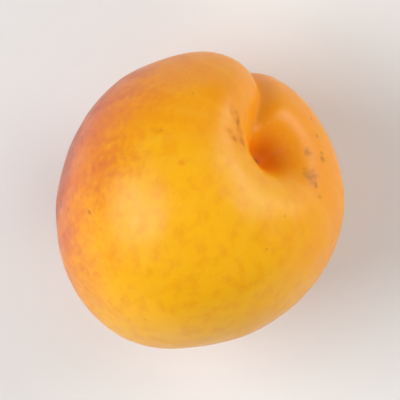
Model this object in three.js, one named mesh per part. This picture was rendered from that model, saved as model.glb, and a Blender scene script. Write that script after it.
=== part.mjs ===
// A ripe apricot, picked without its stalk, lying tilted on a small flat spot.
// Millimetres, +Z up. The fruit is one closed skin. It is worked out in the fruit's own frame,
// where +X is the suture side, +Y the higher lobe and +Z the stem end, and is then laid down.

import * as THREE from "three";
import { mergeVertices } from "three/addons/utils/BufferGeometryUtils.js";

const { lerp, smoothstep, degToRad } = THREE.MathUtils;

// The plain body, measured from the fruit's core.
const HALF_THICKNESS = 23.9; // to the outside of either lobe
const FRONT_DEPTH = 24.6; // to the suture side
const BACK_DEPTH = 25.6; // to the side opposite the suture
const STEM_HEIGHT = 22.2; // to the stem end, before the cavity is sunk
const BLOSSOM_HEIGHT = 26.1; // to the blossom end
const SHOULDER_FULLNESS = 0.86; // power of the sine: under 1 squares the shoulders
const BLOSSOM_FULLNESS = 0.98;

// The suture: a crease in a shallow valley, with the lobe on its +Y side standing higher.
const CREASE_DEPTH = 1.05;
const CREASE_WIDTH = 1.8;
const VALLEY_DEPTH = 1.4;
const VALLEY_WIDTH = 5.0; // on the higher lobe
const LOWER_VALLEY_WIDTH = 2.2; // on the lower lobe
const LOBE_RISE = 1.0;
const LOWER_LOBE_SHARE = 0.6; // of the higher lobe's rise
const LOBE_DISTANCE = 7.0; // from the crease to the crest of a lobe
const LOBE_WIDTH = 6.5;
const LOBE_STEP = 0.35; // half the step in height across the crease
const STEP_WIDTH = 1.2;
const STEP_REACH = 6.0;
const SUTURE_BOW = 2.4; // how far the crease swings to +Y as it enters the cavity
const BOW_REACH = 0.52; // radians from the stem end over which it swings back
const SUTURE_FADE = 0.28; // share of the relief that is left down the fruit's side

// The stem cavity: hollows sunk down the stem axis, one inside the other.
// "along" and "across" are radii, "turn" is the long axis in degrees from +X, "at" is the centre.
const HOLLOWS = [
  { depth: 4.0, along: 3.3, across: 2.9, turn: 50, at: [2.1, -1.3] }, // throat
  { depth: 2.3, along: 5.6, across: 5.0, turn: 60, at: [3.1, -2.3] }, // funnel
  { depth: 2.4, along: 8.4, across: 8.6, turn: 60, at: [1.8, -1.3] }, // basin
];
const BLOSSOM_DIMPLE = { depth: 0.8, radius: 3.2 };

// Soft swellings and flats of this fruit, each in a direction of the fruit's frame.
const SWELLINGS = [
  { toward: [0.1, -0.82, 0.56], height: 1.0 }, // lower lobe beside the cavity
  { toward: [0.12, 0.88, -0.45], height: -1.0 }, // cheek of the higher lobe
  { toward: [-0.46, 0.59, -0.66], height: -0.3 }, // below that cheek
  { toward: [-0.8, 0.1, -0.59], height: 0.9 }, // heel
  { toward: [-0.85, -0.43, -0.31], height: -1.1 }, // flat beside the heel
  { toward: [0.51, -0.6, -0.62], height: 0.9 }, // the side that it rests on
];
const SWELLING_SPREAD = 0.55; // radians

// How it lies.
const STEM_TILT = 42; // degrees from straight up to the stem axis
const STEM_HEADING = 32.5; // degrees from +X toward +Y that the stem end leans to
const NOTCH_HEADING = 66.5; // degrees from +X of the level normal to the suture's plane
const FLAT_SPOT_DEPTH = 0.45;

// The mesh: rings of vertices down from the stem end, closest together in the cavity.
const RING_STRETCHES = [
  { to: 0.3, rings: 12 }, // stem cavity
  { to: 2.8, rings: 31 }, // body
  { to: Math.PI, rings: 6 }, // blossom end
];
const MERIDIANS = 92;
const SUTURE_CROWDING = 0.5; // draws the meridians together at the suture
const SUTURE_TWIST_LIMIT = 0.15; // radians from the stem end, past which they follow its bow

const SKIN_COLOUR = 0xf2a41c;
const SKIN_ROUGHNESS = 0.5;

/** Angles down from the stem end, blossom end first, at which the rings of vertices lie. */
function ringAngles() {
  const angles = [0];
  for (const { to, rings } of RING_STRETCHES) {
    const from = angles.at(-1);
    for (let ring = 1; ring <= rings; ring += 1) {
      angles.push(lerp(from, to, ring / rings));
    }
  }
  return angles.reverse();
}

/** A closed unit ball on the lathe, with its seam merged and its two poles as fans. */
function turnedBall() {
  const profile = ringAngles().map((angle) => new THREE.Vector2(Math.sin(angle), Math.cos(angle)));
  const lathe = new THREE.LatheGeometry(profile, MERIDIANS);
  lathe.deleteAttribute("normal");
  lathe.deleteAttribute("uv");
  const ball = mergeVertices(lathe);
  const corners = Array.from(ball.index.array);
  const kept = [];
  for (let first = 0; first < corners.length; first += 3) {
    const triangle = corners.slice(first, first + 3);
    if (new Set(triangle).size === 3) {
      kept.push(...triangle);
    }
  }
  ball.setIndex(kept);
  return ball;
}

/** The plain body's point at an angle down from the stem end and a turn round from the suture. */
function plainPoint(angle, turn) {
  const rise = Math.cos(angle);
  const depth = lerp(BACK_DEPTH, FRONT_DEPTH, (1 + Math.cos(turn)) / 2);
  const height = rise > 0 ? STEM_HEIGHT : BLOSSOM_HEIGHT;
  const fullness = lerp(BLOSSOM_FULLNESS, SHOULDER_FULLNESS, smoothstep(rise, -0.3, 0.9));
  const reach = Math.pow(Math.max(Math.sin(angle), 0), fullness);
  return new THREE.Vector3(
    depth * reach * Math.cos(turn),
    HALF_THICKNESS * reach * Math.sin(turn),
    height * rise,
  );
}

/** The plain body's outward direction at one of its points. */
function outwardAt(point, turn) {
  const depth = lerp(BACK_DEPTH, FRONT_DEPTH, (1 + Math.cos(turn)) / 2);
  const height = point.z > 0 ? STEM_HEIGHT : BLOSSOM_HEIGHT;
  return new THREE.Vector3(
    point.x / depth ** 2,
    point.y / HALF_THICKNESS ** 2,
    point.z / height ** 2,
  ).normalize();
}

/** A bell curve: 1 at the middle, 1/e at the width. */
function bell(distance, width) {
  return Math.exp(-((distance / width) ** 2));
}

/** Height of the suture's crease, valley, lobes and step above the plain body. */
function sutureRelief(point, angle) {
  const side = point.y - SUTURE_BOW * bell(angle, BOW_REACH);
  const crease = CREASE_DEPTH * Math.exp(-(Math.abs(side / CREASE_WIDTH) ** 1.5));
  const valley = VALLEY_DEPTH * bell(side, side > 0 ? VALLEY_WIDTH : LOWER_VALLEY_WIDTH);
  const lobes = bell(side - LOBE_DISTANCE, LOBE_WIDTH)
    + LOWER_LOBE_SHARE * bell(side + LOBE_DISTANCE, LOBE_WIDTH);
  const step = LOBE_STEP * Math.tanh(side / STEP_WIDTH) * bell(side, STEP_REACH);
  const onSutureSide = smoothstep(point.x / FRONT_DEPTH, -0.15, 0.35);
  const outOfCavity = smoothstep(angle, 0, 0.3);
  const downTheSide = lerp(SUTURE_FADE, 1, bell(angle - 0.6, 0.75));
  const nearBlossom = 1 - 0.6 * smoothstep(angle, 2.6, 3.1);
  const share = onSutureSide * outOfCavity * downTheSide * nearBlossom;
  return share * (LOBE_RISE * lobes + step - crease - valley);
}

/** Height of the soft swellings above the plain body. */
function swellingRelief(point) {
  const heading = point.clone().normalize();
  let relief = 0;
  for (const { toward, height } of SWELLINGS) {
    const apart = heading.distanceTo(new THREE.Vector3(...toward).normalize());
    relief += height * bell(apart, SWELLING_SPREAD);
  }
  return relief;
}

/** Depth of the stem cavity below the skin, straight down the stem axis. */
function cavityDepth(point, angle) {
  let sunk = 0;
  for (const { depth, along, across, turn, at } of HOLLOWS) {
    const offset = new THREE.Vector2(point.x - at[0], point.y - at[1]);
    offset.rotateAround(new THREE.Vector2(), -degToRad(turn));
    sunk += depth * bell(Math.hypot(offset.x / along, offset.y / across), 1);
  }
  return sunk * smoothstep(Math.cos(angle), 0, 0.5);
}

/** Height of the dimple at the blossom end above the skin's lowest point there. */
function blossomRise(point, angle) {
  const { depth, radius } = BLOSSOM_DIMPLE;
  return depth * bell(Math.hypot(point.x, point.y), radius) * smoothstep(-Math.cos(angle), 0.5, 0.9);
}

/** The finished skin's point at an angle down from the stem end and a turn round from the suture. */
function skinPoint(angle, turn) {
  const point = plainPoint(angle, turn);
  const relief = sutureRelief(point, angle) + swellingRelief(point);
  point.addScaledVector(outwardAt(point, turn), relief);
  point.z += blossomRise(point, angle) - cavityDepth(point, angle);
  return point;
}

/** Turn from the even meridians to ones that are crowded at the suture and follow its bow. */
function crowdedTurn(evenTurn, angle) {
  const ringRadius = HALF_THICKNESS * Math.sin(Math.max(angle, SUTURE_TWIST_LIMIT));
  const twist = (SUTURE_BOW * bell(angle, BOW_REACH)) / ringRadius;
  return evenTurn - SUTURE_CROWDING * Math.sin(evenTurn) + twist;
}

/** The whole skin in the fruit's own frame. The lathe turns about Y, so its axes are renamed. */
function fruitSkin() {
  const skin = turnedBall();
  const places = skin.getAttribute("position");
  for (let vertex = 0; vertex < places.count; vertex += 1) {
    const angle = Math.acos(THREE.MathUtils.clamp(places.getY(vertex), -1, 1));
    const evenTurn = Math.atan2(places.getX(vertex), places.getZ(vertex));
    const point = skinPoint(angle, crowdedTurn(evenTurn, angle));
    places.setXYZ(vertex, point.x, point.y, point.z);
  }
  return skin;
}

/** The turn from the fruit's own frame to the way it lies. */
function lyingPose() {
  const tilt = degToRad(STEM_TILT);
  const heading = degToRad(STEM_HEADING);
  const notch = degToRad(NOTCH_HEADING);
  const stem = new THREE.Vector3(
    Math.sin(tilt) * Math.cos(heading),
    Math.sin(tilt) * Math.sin(heading),
    Math.cos(tilt),
  );
  const suture = new THREE.Vector3(Math.cos(notch), Math.sin(notch), 0);
  suture.addScaledVector(stem, -suture.dot(stem)).normalize();
  const lobe = new THREE.Vector3().crossVectors(stem, suture);
  return new THREE.Matrix4().makeBasis(suture, lobe, stem);
}

/** Lays the skin down: middle of its outline over the origin, underside pressed flat at z = 0. */
function layDown(skin) {
  skin.applyMatrix4(lyingPose());
  skin.computeBoundingBox();
  const { min, max } = skin.boundingBox;
  skin.translate(-(min.x + max.x) / 2, -(min.y + max.y) / 2, -min.z - FLAT_SPOT_DEPTH);
  const places = skin.getAttribute("position");
  for (let vertex = 0; vertex < places.count; vertex += 1) {
    places.setZ(vertex, Math.max(places.getZ(vertex), 0));
  }
  skin.computeVertexNormals();
  return skin;
}

/** Ripe apricot skin: golden, satin, no metal. */
function skinMaterial() {
  return new THREE.MeshStandardMaterial({
    color: SKIN_COLOUR,
    roughness: SKIN_ROUGHNESS,
    metalness: 0,
  });
}

const apricot = new THREE.Mesh(layDown(fruitSkin()), skinMaterial());
apricot.name = "apricot";

const fruit = new THREE.Group();
fruit.add(apricot);

export default fruit;
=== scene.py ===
"""A ripe apricot without its stalk, lying tilted on a pale table under soft studio light."""

import logging
import math
from collections.abc import Sequence
from dataclasses import dataclass, field
from enum import Enum

import bmesh
import bpy
from mathutils import Matrix, Vector, noise
from mathutils.bvhtree import BVHTree


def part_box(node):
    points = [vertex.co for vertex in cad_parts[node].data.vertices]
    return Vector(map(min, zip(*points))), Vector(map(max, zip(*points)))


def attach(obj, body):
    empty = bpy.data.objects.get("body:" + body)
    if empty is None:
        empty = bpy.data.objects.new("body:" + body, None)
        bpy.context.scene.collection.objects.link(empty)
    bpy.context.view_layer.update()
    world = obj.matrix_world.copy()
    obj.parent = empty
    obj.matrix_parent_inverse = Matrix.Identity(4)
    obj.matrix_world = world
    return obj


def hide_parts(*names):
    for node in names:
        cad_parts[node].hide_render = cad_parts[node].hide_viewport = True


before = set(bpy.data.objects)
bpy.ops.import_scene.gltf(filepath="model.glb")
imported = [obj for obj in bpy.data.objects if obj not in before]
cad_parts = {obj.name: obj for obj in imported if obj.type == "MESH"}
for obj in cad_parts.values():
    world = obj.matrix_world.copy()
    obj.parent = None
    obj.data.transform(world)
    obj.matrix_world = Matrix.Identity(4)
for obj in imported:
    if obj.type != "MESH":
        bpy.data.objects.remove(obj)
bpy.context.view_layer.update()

MM = 0.001
LOG = logging.getLogger("apricot")

Span = tuple[float, float]               # where a change starts, and where it is complete
Place = tuple[float, float]              # on the plane across the stem axis
Triple = tuple[float, float, float]

RAMP = "ShaderNodeMapRange"
MATHS = "ShaderNodeMath"
VECTOR_MATHS = "ShaderNodeVectorMath"
SMOOTH = {"interpolation_type": "SMOOTHSTEP"}


class Mask(Enum):
    """The masks that the skin's mesh carries for its finish. The crease, wrinkle and cavity masks also
    carry painted shade.
    """

    CREASE = "crease_line_and_shade_mask"
    WRINKLE_STAIN_AND_SHADE = "wrinkle_stain_and_shade_mask"
    CAVITY_SHADE = "cavity_shade_mask"
    SCAR = "scar_mask"
    BLOSSOM = "blossom_mask"


class SpeckTone(Enum):
    """The colours of the small marks on the skin."""

    BROWN = "#A05600"
    RUST = "#D8662C"
    ORANGE = "#EE8406"


# ---------------------------------------------------------------- small helpers


def bell(distance: float, width: float) -> float:
    """A bell curve: 1 at the middle, 1/e at the width."""
    return math.exp(-((distance / width) ** 2))


def lerp(low: float, high: float, share: float) -> float:
    """The value a share of the way from low to high."""
    return low + (high - low) * share


def smoothstep(value: float, low: float, high: float) -> float:
    """Runs smoothly from 0 at low to 1 at high."""
    share = min(max((value - low) / (high - low), 0.0), 1.0)
    return share * share * (3.0 - 2.0 * share)


def linear(hex_colour: str) -> tuple[float, float, float, float]:
    """Turns an sRGB hex colour into linear light.

    Args:
        hex_colour: The colour as "#RRGGBB".

    Returns:
        Red, green, blue and an alpha of 1.
    """
    channels = []
    for start in (1, 3, 5):
        value = int(hex_colour[start:start + 2], 16) / 255.0
        channels.append(value / 12.92 if value <= 0.04045 else ((value + 0.055) / 1.055) ** 2.4)
    return (*channels, 1.0)


def add_node(tree: bpy.types.NodeTree, kind: str, settings: dict | None = None,
             sockets: dict | None = None) -> bpy.types.Node:
    """Adds a node with its settings, and fills or links its inputs.

    Args:
        tree: The node tree that gets the node.
        kind: The node's Blender type name.
        settings: Attributes to set on the node.
        sockets: Input name or number to a value, an output, or a node whose first live output feeds it.

    Returns:
        The new node.
    """
    made = tree.nodes.new(kind)
    for name, value in (settings or {}).items():
        setattr(made, name, value)
    for name, value in (sockets or {}).items():
        into = made.inputs[name] if isinstance(name, int) else next(
            socket for socket in made.inputs if socket.enabled and socket.name == name)
        if isinstance(value, bpy.types.Node):
            value = next(socket for socket in value.outputs if socket.enabled)
        if isinstance(value, bpy.types.NodeSocket):
            tree.links.new(value, into)
        else:
            into.default_value = value
    return made


# ---------------------------------------------------------------- the fruit's form


@dataclass(frozen=True)
class Body:
    """The plain body, in millimetres from the fruit's core. +X is the suture side, +Z the stem end.

    A fullness is the power of the rounding: the less it is, the squarer the shoulder. The span says
    where one passes into the other, from -1 at the blossom end to 1 at the stem end.
    """

    half_thickness: float = 23.9
    front_depth: float = 24.6
    back_depth: float = 25.6
    stem_height: float = 22.2
    blossom_height: float = 26.1
    shoulder_fullness: float = 0.86
    blossom_fullness: float = 0.98
    fullness_span: Span = (-0.3, 0.9)

    def depth(self, turn: float) -> float:
        """Depth from the core at a turn round from the suture."""
        return lerp(self.back_depth, self.front_depth, (1.0 + math.cos(turn)) / 2.0)

    def height(self, above: float) -> float:
        """Height of the stem's half for what lies above the core, and of the blossom's half below it."""
        return self.stem_height if above > 0.0 else self.blossom_height

    def point(self, angle: float, turn: float) -> Vector:
        """Finds a point of the body.

        Args:
            angle: Radians down from the stem end.
            turn: Radians round from the suture.

        Returns:
            The point in the fruit's own frame, in millimetres.
        """
        rise = math.cos(angle)
        fullness = lerp(self.blossom_fullness, self.shoulder_fullness,
                        smoothstep(rise, *self.fullness_span))
        reach = max(math.sin(angle), 0.0) ** fullness
        return Vector((
            self.depth(turn) * reach * math.cos(turn),
            self.half_thickness * reach * math.sin(turn),
            self.height(rise) * rise,
        ))

    def outward(self, point: Vector, turn: float) -> Vector:
        """Finds the outward direction at one of the body's points.

        Args:
            point: The point in the fruit's own frame, in millimetres.
            turn: Its turn round from the suture, in radians.

        Returns:
            The direction, one unit long.
        """
        return Vector((
            point.x / self.depth(turn) ** 2,
            point.y / self.half_thickness ** 2,
            point.z / self.height(point.z) ** 2,
        )).normalized()


@dataclass(frozen=True)
class Suture:
    """The suture: a crease in a shallow valley, with the lobe on its +Y side standing higher.

    Lengths are in millimetres. The angles, in radians down from the stem end, say where it bows,
    where it comes out of the cavity, where it is strongest and where it fades at the blossom end.
    """

    crease_depth: float = 1.05
    crease_width: float = 1.8
    crease_power: float = 1.5
    valley_depth: float = 1.4
    valley_width: float = 5.0
    lower_valley_width: float = 2.2
    lobe_rise: float = 1.0
    lower_lobe_share: float = 0.6
    lobe_distance: float = 7.0
    lobe_width: float = 6.5
    lobe_step: float = 0.35
    step_width: float = 1.2
    step_reach: float = 6.0
    bow: float = 2.4
    bow_angle: float = 0.52
    depth_span: Span = (-0.15, 0.35)
    cavity_span: Span = (0.0, 0.3)
    strongest_angle: float = 0.6
    strong_angle: float = 0.75
    fade: float = 0.28
    blossom_span: Span = (2.6, 3.1)
    blossom_loss: float = 0.6
    line_width: float = 0.9
    line_power: float = 1.4
    line_gain: float = 2.0

    def side(self, point: Vector, angle: float) -> float:
        """Signed distance from the crease, positive on the higher lobe."""
        return point.y - self.bow * bell(angle, self.bow_angle)

    def share(self, point: Vector, angle: float, front_depth: float) -> float:
        """How much of the suture's relief there is at a point.

        Args:
            point: The point in the fruit's own frame, in millimetres.
            angle: Its angle down from the stem end, in radians.
            front_depth: The body's depth on the suture side.

        Returns:
            The share, from 0 to 1.
        """
        on_suture_side = smoothstep(point.x / front_depth, *self.depth_span)
        out_of_cavity = smoothstep(angle, *self.cavity_span)
        down_the_side = lerp(self.fade, 1.0, bell(angle - self.strongest_angle, self.strong_angle))
        near_blossom = 1.0 - self.blossom_loss * smoothstep(angle, *self.blossom_span)
        return on_suture_side * out_of_cavity * down_the_side * near_blossom

    def relief(self, side: float) -> float:
        """Adds up the crease, the valley, the lobes and the step between them.

        Args:
            side: The signed distance from the crease.

        Returns:
            The height above the plain body.
        """
        crease = self.crease_depth * math.exp(-(abs(side / self.crease_width) ** self.crease_power))
        valley_width = self.valley_width if side > 0.0 else self.lower_valley_width
        lobes = bell(side - self.lobe_distance, self.lobe_width)
        lobes += self.lower_lobe_share * bell(side + self.lobe_distance, self.lobe_width)
        step = self.lobe_step * math.tanh(side / self.step_width) * bell(side, self.step_reach)
        return self.lobe_rise * lobes + step - crease - self.valley_depth * bell(side, valley_width)

    def line(self, side: float, share: float) -> float:
        """How strongly the crease is coloured, from 0 to 1: the suture's own thin line at its bottom,
        together with painted shade in the crease.
        """
        thin = math.exp(-abs(side / self.line_width) ** self.line_power)
        return min(self.line_gain * share, 1.0) * thin


@dataclass(frozen=True)
class Hollow:
    """One of the hollows that make the stem cavity, sunk down the stem axis. Its turn is in degrees."""

    depth: float
    along: float
    across: float
    turn: float
    at: Place

    def sunk(self, point: Vector) -> float:
        """Works out the depth of this hollow.

        Args:
            point: The point in the fruit's own frame, in millimetres.

        Returns:
            The depth at the point.
        """
        turn = math.radians(self.turn)
        ahead = point.x - self.at[0]
        beside = point.y - self.at[1]
        along = (ahead * math.cos(turn) + beside * math.sin(turn)) / self.along
        across = (beside * math.cos(turn) - ahead * math.sin(turn)) / self.across
        return self.depth * bell(math.hypot(along, across), 1.0)


@dataclass(frozen=True)
class StalkScar:
    """The ragged scar that the stalk leaves at the bottom of the cavity, in millimetres.

    Its paces are how fast its noise changes in a millimetre, and its slices keep two noises apart.
    """

    at: Place = (1.7, -1.1)
    radius: float = 1.25
    rim_height: float = 0.3
    rim_width: float = 0.4
    depth: float = 0.45
    bowl_share: float = 0.7
    torn_height: float = 0.16
    torn_pace: float = 2.1
    raggedness: float = 0.3
    edge_pace: float = 0.9
    edge_slice: float = 4.7
    dry_span: Span = (1.4, 1.0)
    dry_least: float = 0.4
    pit_mean: float = 0.6
    pit_contrast: float = 0.9
    pit_pace: float = 2.3
    pit_slice: float = 1.9

    def away(self, point: Vector) -> float:
        """Measures how far a point is from the scar, unevenly so that the scar's edge is ragged.

        Args:
            point: The point in the fruit's own frame, in millimetres.

        Returns:
            The level distance from the scar's middle.
        """
        level = math.hypot(point.x - self.at[0], point.y - self.at[1])
        spot = Vector((self.edge_pace * point.x, self.edge_pace * point.y, self.edge_slice))
        return level * (1.0 + self.raggedness * noise.noise(spot))

    def dryness(self, point: Vector) -> float:
        """Works out how dry the skin is.

        Args:
            point: The point in the fruit's own frame, in millimetres.

        Returns:
            0 outside the scar, about a half on its cork and 1 in its torn pits.
        """
        spot = Vector((self.pit_pace * point.x, self.pit_pace * point.y, self.pit_slice))
        torn = self.pit_mean + self.pit_contrast * noise.noise(spot)
        return min(max(torn, self.dry_least), 1.0) * smoothstep(self.away(point), *self.dry_span)

    def relief(self, point: Vector) -> float:
        """Adds up the scar's raised rim and its torn, sunken middle.

        Args:
            point: The point in the fruit's own frame, in millimetres.

        Returns:
            The height above the bottom of the cavity.
        """
        away = self.away(point)
        torn = self.torn_height * noise.noise(point * self.torn_pace) * bell(away, self.radius)
        rim = self.rim_height * bell(away - self.radius, self.rim_width)
        return rim + torn - self.depth * bell(away, self.bowl_share * self.radius)


@dataclass(frozen=True)
class StemCavity:
    """The stem cavity, with faint radial folds in its wall and the stalk's scar at its bottom."""

    hollows: tuple[Hollow, ...] = (
        Hollow(4.0, 3.3, 2.9, 50.0, (2.1, -1.3)),
        Hollow(2.3, 5.6, 5.0, 60.0, (3.1, -2.3)),
        Hollow(2.4, 8.4, 8.6, 60.0, (1.8, -1.3)),
    )
    scar: StalkScar = StalkScar()
    full_depth: float = 10.0
    shoulder_span: Span = (0.0, 0.5)
    fold_height: float = 0.09
    fold_count: float = 7.0
    fold_sway: float = 6.4
    fold_pace: float = 0.12
    fold_band: float = 0.28

    def sunk(self, point: Vector, angle: float) -> float:
        """Depth of the cavity below the skin at a point, without its scar and folds."""
        depth = sum(hollow.sunk(point) for hollow in self.hollows)
        return depth * smoothstep(math.cos(angle), *self.shoulder_span)

    def folds(self, point: Vector, depth: float) -> float:
        """Works out the radial folds, which are strongest half way down the wall.

        Args:
            point: The point in the fruit's own frame, in millimetres.
            depth: The cavity's depth there.

        Returns:
            The height of the folds.
        """
        turn = math.atan2(point.y - self.scar.at[1], point.x - self.scar.at[0])
        swayed = noise.noise(Vector((math.cos(turn), math.sin(turn), self.fold_pace * depth)))
        on_wall = bell(depth / self.full_depth - 0.5, self.fold_band)
        return self.fold_height * on_wall * math.cos(self.fold_count * turn + self.fold_sway * swayed)


@dataclass(frozen=True)
class BlossomEnd:
    """The shallow dimple at the blossom end, with the dried tip of the flower's style in it."""

    dimple_depth: float = 0.8
    dimple_radius: float = 3.2
    tip_height: float = 0.55
    tip_radius: float = 0.75
    tip_stain: float = 1.1
    end_span: Span = (0.5, 0.9)

    def on_end(self, angle: float) -> float:
        """Runs from 0 on the side of the fruit to 1 on its blossom end."""
        return smoothstep(-math.cos(angle), *self.end_span)

    def rise(self, point: Vector, angle: float) -> float:
        """Works out how far the skin is raised along the stem axis, into the fruit.

        Args:
            point: The point in the fruit's own frame, in millimetres.
            angle: Its angle down from the stem end, in radians.

        Returns:
            The rise, which is less on the dried tip than round it.
        """
        away = math.hypot(point.x, point.y)
        dimple = self.dimple_depth * bell(away, self.dimple_radius)
        return self.on_end(angle) * (dimple - self.tip_height * bell(away, self.tip_radius))

    def tip(self, point: Vector, angle: float) -> float:
        """How much of the dried tip there is at a point, from 0 to 1."""
        stained = bell(math.hypot(point.x, point.y), self.tip_stain * self.tip_radius)
        return stained * self.on_end(angle)


@dataclass(frozen=True)
class Swelling:
    """A soft swelling or flat in one direction of the fruit's frame."""

    toward: Triple
    height: float
    spread: float = 0.55

    def relief(self, heading: Vector) -> float:
        """Height above the plain body in a direction."""
        return self.height * bell((heading - Vector(self.toward).normalized()).length, self.spread)


@dataclass(frozen=True)
class Wrinkle:
    """A short wrinkle in the shoulder, from start to end on the plane across the stem axis.

    It sways by its sway over its sway_span, and its brown stain, which also paints the wrinkle's shade, is
    broken into dashes, all in millimetres.
    The slide only keeps the sway along one axis apart from the sway along the other.
    """

    start: Place
    end: Place
    depth: float
    width: float
    sway: float = 0.5
    sway_span: float = 2.6
    sway_slide: Triple = (5.3, 1.9, 8.6)
    end_fade: float = 0.8
    stain_and_shade_share: float = 1.35
    darkest_depth: float = 0.07
    dash: float = 1.1
    dash_mean: float = 0.85
    dash_contrast: float = 1.2
    dash_least: float = 0.3

    def place(self, point: Vector) -> tuple[float, float]:
        """Where a point lies on the wrinkle.

        Args:
            point: The point in the fruit's own frame, in millimetres.

        Returns:
            The distance from the wrinkle's line, and the wrinkle's strength there from 0 to 1.
        """
        start = Vector(self.start)
        run = Vector(self.end) - start
        spot = point / self.sway_span
        aside = Vector((noise.noise(spot), noise.noise(spot + Vector(self.sway_slide))))
        swayed = point.xy + self.sway * aside
        share = (swayed - start).dot(run) / run.length_squared
        nearest = start + run * min(max(share, 0.0), 1.0)
        fading = 1.0 - self.end_fade * min(abs(2.0 * share - 1.0), 1.0) ** 2
        return (swayed - nearest).length, fading

    def relief(self, point: Vector) -> float:
        """Height of the skin in the wrinkle."""
        away, fading = self.place(point)
        return -self.depth * fading * bell(away, self.width)

    def dark(self, point: Vector) -> float:
        """Works out how dark the bottom of the wrinkle is, a brown stain with painted shade, broken into
        uneven dashes.

        Args:
            point: The point in the fruit's own frame, in millimetres.

        Returns:
            The darkness, from 0 to 1.
        """
        away, fading = self.place(point)
        dashes = self.dash_mean + self.dash_contrast * noise.noise(point / self.dash)
        # stain and painted shade together, darker for the deeper wrinkle
        stained = bell(away, self.stain_and_shade_share * self.width) * min(self.depth / self.darkest_depth, 1.0)
        return fading * min(max(dashes, self.dash_least), 1.0) * stained


@dataclass(frozen=True)
class Lay:
    """How the fruit lies, in degrees: its stem end leans over, and a heading turns it on the table."""

    stem_tilt: float = 42.0
    stem_heading: float = 32.5
    notch_heading: float = 66.5

    def axes(self) -> Matrix:
        """Works out how the fruit is turned.

        Returns:
            The turn from the fruit's own frame to the way it lies.
        """
        tilt = math.radians(self.stem_tilt)
        heading = math.radians(self.stem_heading)
        notch = math.radians(self.notch_heading)
        stem = Vector((
            math.sin(tilt) * math.cos(heading),
            math.sin(tilt) * math.sin(heading),
            math.cos(tilt),
        ))
        suture = Vector((math.cos(notch), math.sin(notch), 0.0))
        suture = (suture - stem * suture.dot(stem)).normalized()
        return Matrix((suture, stem.cross(suture), stem)).transposed()


@dataclass(frozen=True)
class Unevenness:
    """The slight lumps that keep a grown skin from being smooth, in millimetres.

    The slides only pick which stretch of the noise is used.
    """

    broad_height: float = 0.2
    broad_span: float = 8.0
    broad_slide: Triple = (3.1, 0.7, 5.2)
    fine_height: float = 0.05
    fine_span: float = 2.8
    fine_slide: Triple = (8.4, 2.9, 1.3)

    def relief(self, point: Vector) -> float:
        """Adds up the broad and the fine lumps.

        Args:
            point: The point in the fruit's own frame, in millimetres.

        Returns:
            Their height at the point.
        """
        broad = self.broad_height * noise.noise(point / self.broad_span + Vector(self.broad_slide))
        fine = self.fine_height * noise.noise(point / self.fine_span + Vector(self.fine_slide))
        return broad + fine


# ---------------------------------------------------------------- finishes


@dataclass(frozen=True)
class Tint:
    """A colour that is laid on more and more, up to a share, as a measure runs from start to full."""

    hue: str
    start: float
    full: float
    share: float = 1.0

    def over(self, tree: bpy.types.NodeTree, measure: bpy.types.Node | bpy.types.NodeSocket,
             colour: bpy.types.Node | tuple, within: bpy.types.Node | None = None) -> bpy.types.Node:
        """Lays the tint over a colour.

        Args:
            tree: The material's node tree.
            measure: What decides how much of the tint there is.
            colour: The colour so far.
            within: What else the tint is thinned by, from 0 to 1.

        Returns:
            The node that gives the tinted colour.
        """
        strength = add_node(tree, RAMP, SMOOTH, {
            "Value": measure, "From Min": self.start, "From Max": self.full, "To Max": self.share,
        })
        if within is not None:
            strength = add_node(tree, MATHS, {"operation": "MULTIPLY"}, {0: within, 1: strength})
        return add_node(tree, "ShaderNodeMix", {"data_type": "RGBA"}, {
            "Factor": strength, "A": colour, "B": linear(self.hue),
        })


@dataclass(frozen=True)
class Speck:
    """A small mark on the upper skin, placed as seen from above, in millimetres.

    Its tint is full within one ragged distance of its middle and gone beyond another, both in radii.
    """

    across: float
    up: float
    radius: float
    tone: SpeckTone
    full_within: float = 0.9
    gone_beyond: float = 2.2
    strength: float = 0.58
    drop_from: float = 200.0

    def middle(self, skin: BVHTree) -> Vector:
        """Where the mark lies on the skin.

        Args:
            skin: The faces of the skin as it lies, in millimetres.

        Returns:
            The place in millimetres, straight below the point seen from above.
        """
        above = Vector((self.across, self.up, self.drop_from))
        return skin.ray_cast(above, Vector((0.0, 0.0, -1.0)))[0]

    def tint(self) -> Tint:
        """Makes the mark's tint, measured by the ragged distance from its middle."""
        gone, full = self.gone_beyond * self.radius, self.full_within * self.radius
        return Tint(self.tone.value, gone, full, self.strength)


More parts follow.
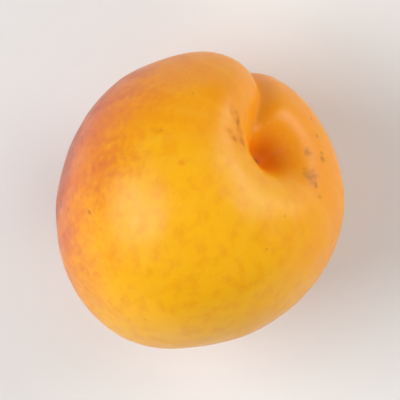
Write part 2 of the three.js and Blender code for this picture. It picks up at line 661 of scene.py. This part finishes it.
@dataclass(frozen=True)
class ApricotSkinFinish:
    """Ripe apricot skin: thin, waxy and finely downy, over pale orange flesh that light enters.

    The down gives a pale bloom at grazing angles and broad, soft highlights. The ground is golden,
    the cheek that faced the sun carries a red blush that breaks up into dots at its edge.
    Sizes and spacings of the patterns are in millimetres.
    """

    name: str = "ripe_apricot_skin"
    ground_orange: str = "#F69A05"
    golden: Tint = Tint("#FEB703", 0.35, 1.25)
    golden_toward: Triple = (-0.87, 0.40, 0.30)
    golden_patches: float = 11.0
    golden_drift: float = 0.7
    mottle: Tint = Tint("#F29C08", 0.42, 0.72, 0.55)
    mottle_size: float = 2.2
    pale_streak: Tint = Tint("#FDB830", 0.48, 0.8, 0.3)
    streak_slide: float = 7.0
    streak_stretch: Triple = (0.0, 0.0, 0.016)
    streaks_round: float = 6.0
    blush_toward: Triple = (0.33, 0.735, -0.575)
    blush_patches: float = 9.0
    blush_drift: float = 0.5
    blush_streaks: float = 0.45
    blush_dot_size: float = 1.1
    blush_dots: float = 0.32
    blush: tuple[Tint, ...] = (
        Tint("#EC8A08", 0.7, 1.28, 0.9),
        Tint("#D96E3A", 0.98, 1.44, 0.9),
        Tint("#A23A24", 1.3, 1.7, 0.8),
    )
    pore_spacing: float = 1.6
    pore_edge: Span = (0.08, 0.2)
    lenticel: Tint = Tint("#FFC45A", 0.5, 0.7, 0.26)
    freckle: Tint = Tint("#B0501C", 0.74, 0.82, 0.35)
    freckle_patches: float = 7.0
    freckle_crowds: Span = (0.5, 0.68)
    ragged_size: float = 0.7
    raggedness: float = 1.8
    # tints laid by the mesh's masks: the stalk scar and blossom tip are the skin's own marks, while the
    # crease, wrinkle and cavity tints paint shade
    marks_and_painted_shade: tuple[tuple[Mask, Tint], ...] = (
        # the suture's own line together with painted shade in the crease
        (Mask.CREASE, Tint("#EE8C08", 0.0, 1.0, 0.45)),
        # brown stain along the wrinkles, which also paints their shade
        (Mask.WRINKLE_STAIN_AND_SHADE, Tint("#B45200", 0.0, 1.0, 0.75)),
        # painted shade: the skin turns a deeper orange the deeper the cavity
        (Mask.CAVITY_SHADE, Tint("#FA9206", 0.25, 0.65, 0.75)),
        (Mask.CAVITY_SHADE, Tint("#F47C08", 0.5, 1.0, 0.85)),
        (Mask.SCAR, Tint("#C0824A", 0.0, 0.4)),
        (Mask.SCAR, Tint("#96602E", 0.5, 1.0, 0.8)),
        (Mask.BLOSSOM, Tint("#C0824A", 0.0, 1.0)),
    )
    roughness: float = 0.36
    duller: float = 0.07
    shinier: float = 0.05
    gloss_patches: float = 3.0
    gloss_span: Span = (0.3, 0.7)
    fold_dullness: float = 0.35
    refraction: float = 1.40
    flesh_glow: float = 0.35
    flesh_radius: Triple = (1.0, 0.36, 0.10)
    flesh_depth: float = 1.8
    bloom: float = 0.04
    bloom_spread: float = 0.35
    bloom_hue: str = "#FFD9C4"
    down_size: float = 0.4
    down_height: float = 0.05
    down_strength: float = 0.22
    dimple_spacing: float = 1.1
    dimple_reach: float = 0.3
    dimple_share: float = 0.5
    specks: tuple[Speck, ...] = (
        Speck(18.4, 3.9, 1.7, SpeckTone.BROWN),
        Speck(19.3, 2.3, 0.6, SpeckTone.BROWN),
        Speck(18.0, 8.0, 0.9, SpeckTone.BROWN),
        Speck(20.5, 6.9, 0.7, SpeckTone.BROWN),
        Speck(20.3, 7.9, 0.35, SpeckTone.BROWN),
        Speck(19.6, 10.7, 0.45, SpeckTone.BROWN),
        Speck(18.6, 13.6, 0.32, SpeckTone.BROWN),
        Speck(19.9, 0.6, 0.4, SpeckTone.BROWN),
        Speck(-6.4, 11.3, 0.5, SpeckTone.ORANGE),
        Speck(-3.1, 6.1, 0.7, SpeckTone.ORANGE),
        Speck(-13.7, 8.1, 0.7, SpeckTone.ORANGE),
        Speck(-16.5, 6.0, 0.7, SpeckTone.RUST),
        Speck(-17.6, 5.1, 0.8, SpeckTone.RUST),
        Speck(-16.9, 1.9, 0.8, SpeckTone.RUST),
        Speck(-20.6, 1.9, 0.8, SpeckTone.RUST),
        Speck(-18.0, 8.1, 0.5, SpeckTone.RUST),
        Speck(-21.9, -1.5, 0.45, SpeckTone.BROWN),
        Speck(-18.3, -2.0, 0.45, SpeckTone.BROWN),
    )

    def material(self, place: Matrix, skin: BVHTree) -> bpy.types.Material:
        """Makes the skin's material.

        Args:
            place: From the fruit as it lies to its own frame, both in millimetres.
            skin: The faces of the skin as it lies, in millimetres.

        Returns:
            The material.
        """
        made = bpy.data.materials.new(self.name)
        made.use_nodes = True
        tree = made.node_tree
        tree.nodes.clear()
        location, turn, _ = place.decompose()
        spot = add_node(tree, "ShaderNodeMapping", {"vector_type": "POINT"}, {
            "Vector": add_node(tree, "ShaderNodeTexCoord").outputs["Object"],
            "Location": location,
            "Rotation": turn.to_euler("XYZ"),
            "Scale": (1.0 / MM, 1.0 / MM, 1.0 / MM),
        })
        colour = self.ground(tree, spot)
        colour = self.blushed(tree, spot, colour)
        colour = self.dotted(tree, spot, colour)
        colour = self.marked(tree, spot, colour, [place @ speck.middle(skin) for speck in self.specks])
        for mask, tint in self.marks_and_painted_shade:
            carried = add_node(tree, "ShaderNodeAttribute", {"attribute_name": mask.value})
            colour = tint.over(tree, carried.outputs["Fac"], colour)
        shader = add_node(tree, "ShaderNodeBsdfPrincipled", None, {
            "Base Color": colour,
            "Roughness": self.uneven_roughness(tree, spot),
            "Normal": self.down(tree, spot),
            "IOR": self.refraction,
            "Subsurface Weight": self.flesh_glow,
            "Subsurface Radius": self.flesh_radius,
            "Subsurface Scale": self.flesh_depth * MM,
            "Sheen Weight": self.bloom,
            "Sheen Roughness": self.bloom_spread,
            "Sheen Tint": linear(self.bloom_hue),
        })
        add_node(tree, "ShaderNodeOutputMaterial", None, {"Surface": shader})
        return made

    def facing(self, tree: bpy.types.NodeTree, spot: bpy.types.Node, toward: Triple,
               patches: bpy.types.Node, drift: float) -> bpy.types.Node:
        """Measures how far the skin faces one way, with an edge that drifts in patches.

        Args:
            tree: The material's node tree.
            spot: The place on the skin, in the fruit's own frame, in millimetres.
            toward: The way, in the fruit's own frame.
            patches: The patches that the edge drifts by.
            drift: How much it drifts.

        Returns:
            The node that gives the measure.
        """
        facing = add_node(tree, VECTOR_MATHS, {"operation": "DOT_PRODUCT"}, {
            0: add_node(tree, VECTOR_MATHS, {"operation": "NORMALIZE"}, {0: spot}),
            1: Vector(toward).normalized(),
        })
        return add_node(tree, MATHS, {"operation": "MULTIPLY_ADD"}, {
            0: patches, 1: drift, 2: facing.outputs["Value"],
        })

    def ground(self, tree: bpy.types.NodeTree, spot: bpy.types.Node) -> bpy.types.Node:
        """Mixes the ground: golden on the shaded shoulder, more orange round it, mottled and streaked.

        Args:
            tree: The material's node tree.
            spot: The place on the skin, in the fruit's own frame, in millimetres.

        Returns:
            The node that gives the ground's colour.
        """
        patches = add_node(tree, "ShaderNodeTexNoise", None, {
            "Vector": spot, "Scale": 1.0 / self.golden_patches, "Detail": 2.0,
        })
        shaded = self.facing(tree, spot, self.golden_toward, patches, self.golden_drift)
        colour = self.golden.over(tree, shaded, linear(self.ground_orange))
        mottling = add_node(tree, "ShaderNodeTexNoise", None, {
            "Vector": spot, "Scale": 1.0 / self.mottle_size, "Detail": 3.0,
        })
        colour = self.mottle.over(tree, mottling, colour)
        return self.pale_streak.over(tree, self.streaks(tree, spot, self.streak_slide), colour)

    def streaks(self, tree: bpy.types.NodeTree, spot: bpy.types.Node, slide: float) -> bpy.types.Node:
        """Makes a pattern drawn out from end to end of the fruit.

        Args:
            tree: The material's node tree.
            spot: The place on the skin, in the fruit's own frame, in millimetres.
            slide: How far along the fruit the pattern is slid, so that two patterns differ.

        Returns:
            The node that gives the pattern.
        """
        level = add_node(tree, VECTOR_MATHS, {"operation": "NORMALIZE"}, {
            0: add_node(tree, VECTOR_MATHS, {"operation": "MULTIPLY"}, {0: spot, 1: (1.0, 1.0, 0.0)}),
        })
        drawn_out = add_node(tree, VECTOR_MATHS, {"operation": "MULTIPLY_ADD"}, {
            0: spot, 1: self.streak_stretch, 2: level,
        })
        slid = add_node(tree, VECTOR_MATHS, {"operation": "ADD"}, {0: drawn_out, 1: (0.0, 0.0, slide)})
        return add_node(tree, "ShaderNodeTexNoise", None, {
            "Vector": slid, "Scale": self.streaks_round, "Detail": 2.5, "Distortion": 0.5,
        })

    def blushed(self, tree: bpy.types.NodeTree, spot: bpy.types.Node,
                colour: bpy.types.Node) -> bpy.types.Node:
        """Lays the blush over the sunny cheek: warm orange, then pink, then red, dotted at its edge.

        Args:
            tree: The material's node tree.
            spot: The place on the skin, in the fruit's own frame, in millimetres.
            colour: The colour so far.

        Returns:
            The node that gives the blushed colour.
        """
        patches = add_node(tree, "ShaderNodeTexNoise", {"noise_dimensions": "4D"}, {
            "Vector": spot, "W": 0.0, "Scale": 1.0 / self.blush_patches, "Detail": 3.0,
        })
        sunny = self.facing(tree, spot, self.blush_toward, patches, self.blush_drift)
        streaked = add_node(tree, MATHS, {"operation": "MULTIPLY_ADD"}, {
            0: self.streaks(tree, spot, 0.0), 1: self.blush_streaks, 2: sunny,
        })
        dots = add_node(tree, "ShaderNodeTexNoise", None, {
            "Vector": spot, "Scale": 1.0 / self.blush_dot_size, "Detail": 2.0,
        })
        dotted = add_node(tree, MATHS, {"operation": "MULTIPLY_ADD"}, {
            0: dots, 1: self.blush_dots, 2: streaked,
        })
        for tint in self.blush:
            colour = tint.over(tree, dotted, colour)
        return colour

    def dotted(self, tree: bpy.types.NodeTree, spot: bpy.types.Node,
               colour: bpy.types.Node) -> bpy.types.Node:
        """Adds pale lenticels, and rust freckles that gather in patches.

        Args:
            tree: The material's node tree.
            spot: The place on the skin, in the fruit's own frame, in millimetres.
            colour: The colour so far.

        Returns:
            The node that gives the dotted colour.
        """
        pores = add_node(tree, "ShaderNodeTexVoronoi", {"feature": "F1"}, {
            "Vector": spot, "Scale": 1.0 / self.pore_spacing,
        })
        kinds = add_node(tree, "ShaderNodeSeparateColor", None, {"Color": pores.outputs["Color"]})
        dot = add_node(tree, RAMP, SMOOTH, {
            "Value": pores.outputs["Distance"],
            "From Min": self.pore_edge[0], "From Max": self.pore_edge[1], "To Min": 1.0, "To Max": 0.0,
        })
        crowds = add_node(tree, RAMP, SMOOTH, {
            "Value": add_node(tree, "ShaderNodeTexNoise", None, {
                "Vector": spot, "Scale": 1.0 / self.freckle_patches, "Detail": 2.0,
            }),
            "From Min": self.freckle_crowds[0], "From Max": self.freckle_crowds[1],
        })
        crowded = add_node(tree, MATHS, {"operation": "MULTIPLY"}, {0: dot, 1: crowds})
        colour = self.lenticel.over(tree, kinds.outputs["Red"], colour, dot)
        return self.freckle.over(tree, kinds.outputs["Green"], colour, crowded)

    def marked(self, tree: bpy.types.NodeTree, spot: bpy.types.Node, colour: bpy.types.Node,
               middles: list[Vector]) -> bpy.types.Node:
        """Adds the few larger marks, each with a ragged edge.

        Args:
            tree: The material's node tree.
            spot: The place on the skin, in the fruit's own frame, in millimetres.
            colour: The colour so far.
            middles: The middle of each mark, in the fruit's own frame, in millimetres.

        Returns:
            The node that gives the marked colour.
        """
        ragged = add_node(tree, "ShaderNodeTexNoise", None, {
            "Vector": spot, "Scale": 1.0 / self.ragged_size, "Detail": 3.0,
        })
        for speck, middle in zip(self.specks, middles):
            away = add_node(tree, VECTOR_MATHS, {"operation": "DISTANCE"}, {0: spot, 1: middle})
            edge = add_node(tree, MATHS, {"operation": "MULTIPLY_ADD"}, {
                0: ragged, 1: self.raggedness * speck.radius, 2: away.outputs["Value"],
            })
            colour = speck.tint().over(tree, edge, colour)
        return colour

    def uneven_roughness(self, tree: bpy.types.NodeTree, spot: bpy.types.Node) -> bpy.types.Node:
        """Breaks the satin skin into duller and shinier patches, and dulls the crease and wrinkles.

        Args:
            tree: The material's node tree.
            spot: The place on the skin, in the fruit's own frame, in millimetres.

        Returns:
            The node that gives the roughness.
        """
        roughness = add_node(tree, RAMP, SMOOTH, {
            "Value": add_node(tree, "ShaderNodeTexNoise", None, {
                "Vector": spot, "Scale": 1.0 / self.gloss_patches, "Detail": 4.0,
            }),
            "From Min": self.gloss_span[0], "From Max": self.gloss_span[1],
            "To Min": self.roughness - self.shinier, "To Max": self.roughness + self.duller,
        })
        for mask in (Mask.CREASE, Mask.WRINKLE_STAIN_AND_SHADE):
            carried = add_node(tree, "ShaderNodeAttribute", {"attribute_name": mask.value})
            roughness = add_node(tree, MATHS, {"operation": "MULTIPLY_ADD"}, {
                0: carried.outputs["Fac"], 1: self.fold_dullness, 2: roughness,
            })
        return roughness

    def down(self, tree: bpy.types.NodeTree, spot: bpy.types.Node) -> bpy.types.Node:
        """Makes the bump of the down and pores. Down is 0.05 mm, drawn at 0.4 mm so that it shows.

        Args:
            tree: The material's node tree.
            spot: The place on the skin, in the fruit's own frame, in millimetres.

        Returns:
            The node that gives the bumped normal.
        """
        pores = add_node(tree, "ShaderNodeTexVoronoi", {"feature": "SMOOTH_F1"}, {
            "Vector": spot, "Scale": 1.0 / self.dimple_spacing, "Smoothness": 0.4,
        })
        dimples = add_node(tree, RAMP, SMOOTH, {
            "Value": pores.outputs["Distance"], "From Max": self.dimple_reach, "To Max": self.dimple_share,
        })
        hairs = add_node(tree, "ShaderNodeTexNoise", None, {
            "Vector": spot, "Scale": 1.0 / self.down_size, "Detail": 3.0,
        })
        return add_node(tree, "ShaderNodeBump", None, {
            "Height": add_node(tree, MATHS, {"operation": "ADD"}, {0: hairs, 1: dimples}),
            "Strength": self.down_strength,
            "Distance": self.down_height * MM,
        })


@dataclass(frozen=True)
class TableFinish:
    """Matt white painted board: even and pale, with no gloss to compete with the fruit."""

    name: str = "matt_white_board"
    colour: str = "#EAE9E7"
    roughness: float = 0.7

    def material(self) -> bpy.types.Material:
        """Makes the table's material.

        Returns:
            The material.
        """
        made = bpy.data.materials.new(self.name)
        made.use_nodes = True
        shader = made.node_tree.nodes["Principled BSDF"]
        shader.inputs["Base Color"].default_value = linear(self.colour)
        shader.inputs["Roughness"].default_value = self.roughness
        return made


# ---------------------------------------------------------------- the fruit


@dataclass
class Apricot:
    """The whole fruit: one skin, shaped in its own frame in millimetres and then laid down.

    It is shaped on a gridded cube. The crowding draws the grid to the cavity and to the suture, and
    the twist lets it follow the suture's bow. The unevenness is calmer inside the cavity.
    """

    body: Body = field(default_factory=Body)
    suture: Suture = field(default_factory=Suture)
    cavity: StemCavity = field(default_factory=StemCavity)
    blossom: BlossomEnd = field(default_factory=BlossomEnd)
    unevenness: Unevenness = field(default_factory=Unevenness)
    lay: Lay = field(default_factory=Lay)
    finish: ApricotSkinFinish = field(default_factory=ApricotSkinFinish)
    swellings: tuple[Swelling, ...] = (
        Swelling((0.1, -0.82, 0.56), 1.0),
        Swelling((0.12, 0.88, -0.45), -1.0),
        Swelling((-0.46, 0.59, -0.66), -0.3),
        Swelling((-0.8, 0.1, -0.59), 0.9),
        Swelling((-0.85, -0.43, -0.31), -1.1),
        Swelling((0.51, -0.6, -0.62), 0.9),
    )
    wrinkles: tuple[Wrinkle, ...] = (
        Wrinkle((6.4, 8.2), (-0.6, 4.2), 0.07, 0.55),
        Wrinkle((1.6, 9.0), (-1.2, 4.4), 0.05, 0.5),
    )
    cavity_calm: float = 0.7
    cells_across_face: int = 120
    crowding: float = 0.35
    twist_least_angle: float = 0.15
    twist_span: Span = (0.0, 1.0)

    def skin_point(self, angle: float, turn: float) -> tuple[Vector, dict[Mask, float]]:
        """Works out one point of the skin.

        Args:
            angle: Radians down from the stem end.
            turn: Radians round from the suture.

        Returns:
            The point in the fruit's own frame, in millimetres, and the masks there.
        """
        point = self.body.point(angle, turn)
        side = self.suture.side(point, angle)
        share = self.suture.share(point, angle, self.body.front_depth)
        heading = point.normalized()
        relief = share * self.suture.relief(side)
        relief += sum(swelling.relief(heading) for swelling in self.swellings)
        depth = self.cavity.sunk(point + self.body.outward(point, turn) * relief, angle)
        open_skin = 1.0 - self.cavity_calm * min(depth / self.cavity.full_depth, 1.0)
        relief += open_skin * self.unevenness.relief(point)
        point += self.body.outward(point, turn) * relief
        depth = self.cavity.sunk(point, angle)
        masks = {
            # the crease mask carries the suture's line and painted shade in the crease
            Mask.CREASE: self.suture.line(side, share),
            # the wrinkle mask carries a stain and painted shade
            Mask.WRINKLE_STAIN_AND_SHADE: max(wrinkle.dark(point) for wrinkle in self.wrinkles) if point.z > 0.0 else 0.0,
            # the cavity mask measures depth for painted shade in the cavity
            Mask.CAVITY_SHADE: min(depth / self.cavity.full_depth, 1.0),
            Mask.SCAR: 0.0,
            Mask.BLOSSOM: self.blossom.tip(point, angle),
        }
        if angle < math.pi / 2:
            masks[Mask.SCAR] = self.cavity.scar.dryness(point)
            point.z += sum(wrinkle.relief(point) for wrinkle in self.wrinkles)
            point.z += self.cavity.scar.relief(point) + self.cavity.folds(point, depth)
        point.z += self.blossom.rise(point, angle) - depth
        return point, masks

    def grid_place(self, corner: Vector) -> tuple[float, float]:
        """Where a vertex of the gridded cube goes on the fruit.

        Args:
            corner: The vertex on a cube that reaches from -1 to 1.

        Returns:
            The angle down from the stem end and the turn round from the suture, in radians.
        """
        heading = Vector([math.tan(value * math.pi / 4.0) for value in corner]).normalized()
        even_angle = math.acos(min(max(heading.z, -1.0), 1.0))
        even_turn = math.atan2(heading.y, heading.x)
        angle = even_angle - self.crowding * math.sin(even_angle)
        ring_radius = self.body.half_thickness * math.sin(max(angle, self.twist_least_angle))
        twist = self.suture.bow * bell(angle, self.suture.bow_angle) / ring_radius
        twist *= smoothstep(math.pi - angle, *self.twist_span)
        return angle, even_turn - self.crowding * math.sin(even_turn) + twist

    def core(self, corners: list[Vector]) -> Vector:
        """Where the fruit's core lies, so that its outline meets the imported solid's box.

        Args:
            corners: The skin's points, turned as they lie but about the core, in millimetres.

        Returns:
            The core's place in millimetres.
        """
        low, high = (Vector(corner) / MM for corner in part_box("apricot"))
        middle = (low + high) / 2.0
        reach = [(min(c[axis] for c in corners) + max(c[axis] for c in corners)) / 2.0 for axis in (0, 1)]
        top = max(corner.z for corner in corners)
        return Vector((middle.x - reach[0], middle.y - reach[1], high.z - top))

    def build(self) -> bpy.types.Object:
        """Shapes the skin, lays it down and dresses it.

        Returns:
            The finished piece, with its place in its mesh.
        """
        shape = bmesh.new()
        bmesh.ops.create_cube(shape, size=2.0)
        bmesh.ops.subdivide_edges(shape, edges=shape.edges, cuts=self.cells_across_face - 1,
                                  use_grid_fill=True)
        layers = {mask: shape.verts.layers.float.new(mask.value) for mask in Mask}
        axes = self.lay.axes()
        for vert in shape.verts:
            point, masks = self.skin_point(*self.grid_place(vert.co))
            vert.co = axes @ point
            for mask, layer in layers.items():
                vert[layer] = masks[mask]
        core = self.core([vert.co for vert in shape.verts])
        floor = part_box("apricot")[0][2] / MM
        for vert in shape.verts:
            vert.co += core
            vert.co.z = max(vert.co.z, floor)
        to_fruit = axes.transposed().to_4x4() @ Matrix.Translation(-core)
        skin = self.finish.material(to_fruit, BVHTree.FromBMesh(shape))
        for vert in shape.verts:
            vert.co *= MM
        bmesh.ops.recalc_face_normals(shape, faces=shape.faces)
        for face in shape.faces:
            face.smooth = True
        mesh = bpy.data.meshes.new("apricot_skin")
        shape.to_mesh(mesh)
        shape.free()
        piece = bpy.data.objects.new("apricot_skin", mesh)
        bpy.context.scene.collection.objects.link(piece)
        mesh.materials.append(skin)
        return piece


# ---------------------------------------------------------------- the studio


@dataclass
class Table:
    """The pale table that the fruit lies on, in metres."""

    width: float = 3.0
    finish: TableFinish = field(default_factory=TableFinish)

    def build(self) -> bpy.types.Object:
        """Makes the table's top.

        Returns:
            The table's top.
        """
        shape = bmesh.new()
        bmesh.ops.create_grid(shape, x_segments=1, y_segments=1, size=self.width / 2.0)
        mesh = bpy.data.meshes.new("table_top")
        shape.to_mesh(mesh)
        shape.free()
        mesh.materials.append(self.finish.material())
        top = bpy.data.objects.new("table_top", mesh)
        bpy.context.scene.collection.objects.link(top)
        return top


@dataclass
class Softbox:
    """A large soft light that faces the fruit, in metres. One that isn't mirrored only fills the shade."""

    name: str
    at: Triple
    width: float
    height: float
    watts: float
    mirrored: bool = True

    def build(self, target: Vector) -> bpy.types.Object:
        """Makes the light and turns it to its target.

        Args:
            target: The place that the light faces.

        Returns:
            The light.
        """
        lamp = bpy.data.lights.new(self.name, "AREA")
        lamp.shape = "RECTANGLE"
        lamp.size = self.width
        lamp.size_y = self.height
        lamp.energy = self.watts
        placed = bpy.data.objects.new(self.name, lamp)
        placed.location = self.at
        placed.rotation_euler = (target - Vector(self.at)).to_track_quat("-Z", "Y").to_euler()
        placed.visible_camera = False
        placed.visible_glossy = self.mirrored
        bpy.context.scene.collection.objects.link(placed)
        return placed


@dataclass
class Room:
    """Plain surroundings that grow lighter overhead. The span is how high up, from 0 to 1."""

    horizon: float = 0.12
    overhead: float = 0.3
    height_span: Span = (0.05, 0.8)

    def build(self) -> bpy.types.World:
        """Makes the world's even light.

        Returns:
            The world.
        """
        world = bpy.data.worlds.new("room")
        world.use_nodes = True
        tree = world.node_tree
        tree.nodes.clear()
        way = add_node(tree, "ShaderNodeTexCoord").outputs["Generated"]
        apart = add_node(tree, "ShaderNodeSeparateXYZ", None, {"Vector": way})
        strength = add_node(tree, RAMP, SMOOTH, {
            "Value": apart.outputs["Z"],
            "From Min": self.height_span[0], "From Max": self.height_span[1],
            "To Min": self.horizon, "To Max": self.overhead,
        })
        light = add_node(tree, "ShaderNodeBackground", None, {
            "Color": (1.0, 1.0, 1.0, 1.0), "Strength": strength,
        })
        add_node(tree, "ShaderNodeOutputWorld", None, {"Surface": light})
        bpy.context.scene.world = world
        return world


@dataclass
class View:
    """The camera, straight above the fruit with +Y up the picture. The sensor is in millimetres."""

    distance: float = 0.8
    fill: float = 0.74
    sensor: float = 36.0
    clip_start: float = 0.01

    def build(self, low: Vector, high: Vector) -> bpy.types.Object:
        """Places the camera so that the fruit fills a share of the square picture.

        Args:
            low: The fruit's lowest corner in metres.
            high: The fruit's highest corner in metres.

        Returns:
            The camera.
        """
        middle = (low + high) / 2.0
        across = max(high.x - low.x, high.y - low.y) / self.fill
        lens = bpy.data.cameras.new("view")
        lens.sensor_width = self.sensor
        lens.lens = self.sensor * self.distance / across
        lens.clip_start = self.clip_start
        placed = bpy.data.objects.new("view", lens)
        placed.location = (middle.x, middle.y, middle.z + self.distance)
        bpy.context.scene.collection.objects.link(placed)
        bpy.context.scene.camera = placed
        return placed


def main() -> None:
    """Builds the fruit and its studio, and reports each piece."""
    logging.basicConfig(level=logging.INFO, format="%(name)s: %(message)s")
    bpy.context.scene.view_settings.view_transform = "Standard"
    low, high = (Vector(corner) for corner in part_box("apricot"))
    View().build(low, high)
    skin = Apricot().build()
    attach(skin, "root")
    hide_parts("apricot")
    LOG.info("%s: %d faces", skin.name, len(skin.data.polygons))
    table = Table()
    top = table.build()
    LOG.info("%s: %.1f m wide", top.name, table.width)
    boxes = (
        Softbox("left_softbox", (-0.52, -0.03, 0.47), 0.5, 0.55, 4.0),
        Softbox("right_softbox", (0.6, 0.34, 0.31), 0.5, 0.46, 3.1),
        Softbox("front_softbox", (0.4, -0.5, 0.42), 0.4, 0.4, 1.35, mirrored=False),
    )
    for box in boxes:
        box.build((low + high) / 2.0)
        LOG.info("%s: %.1f W", box.name, box.watts)
    Room().build()


if __name__ == "__main__":
    main()
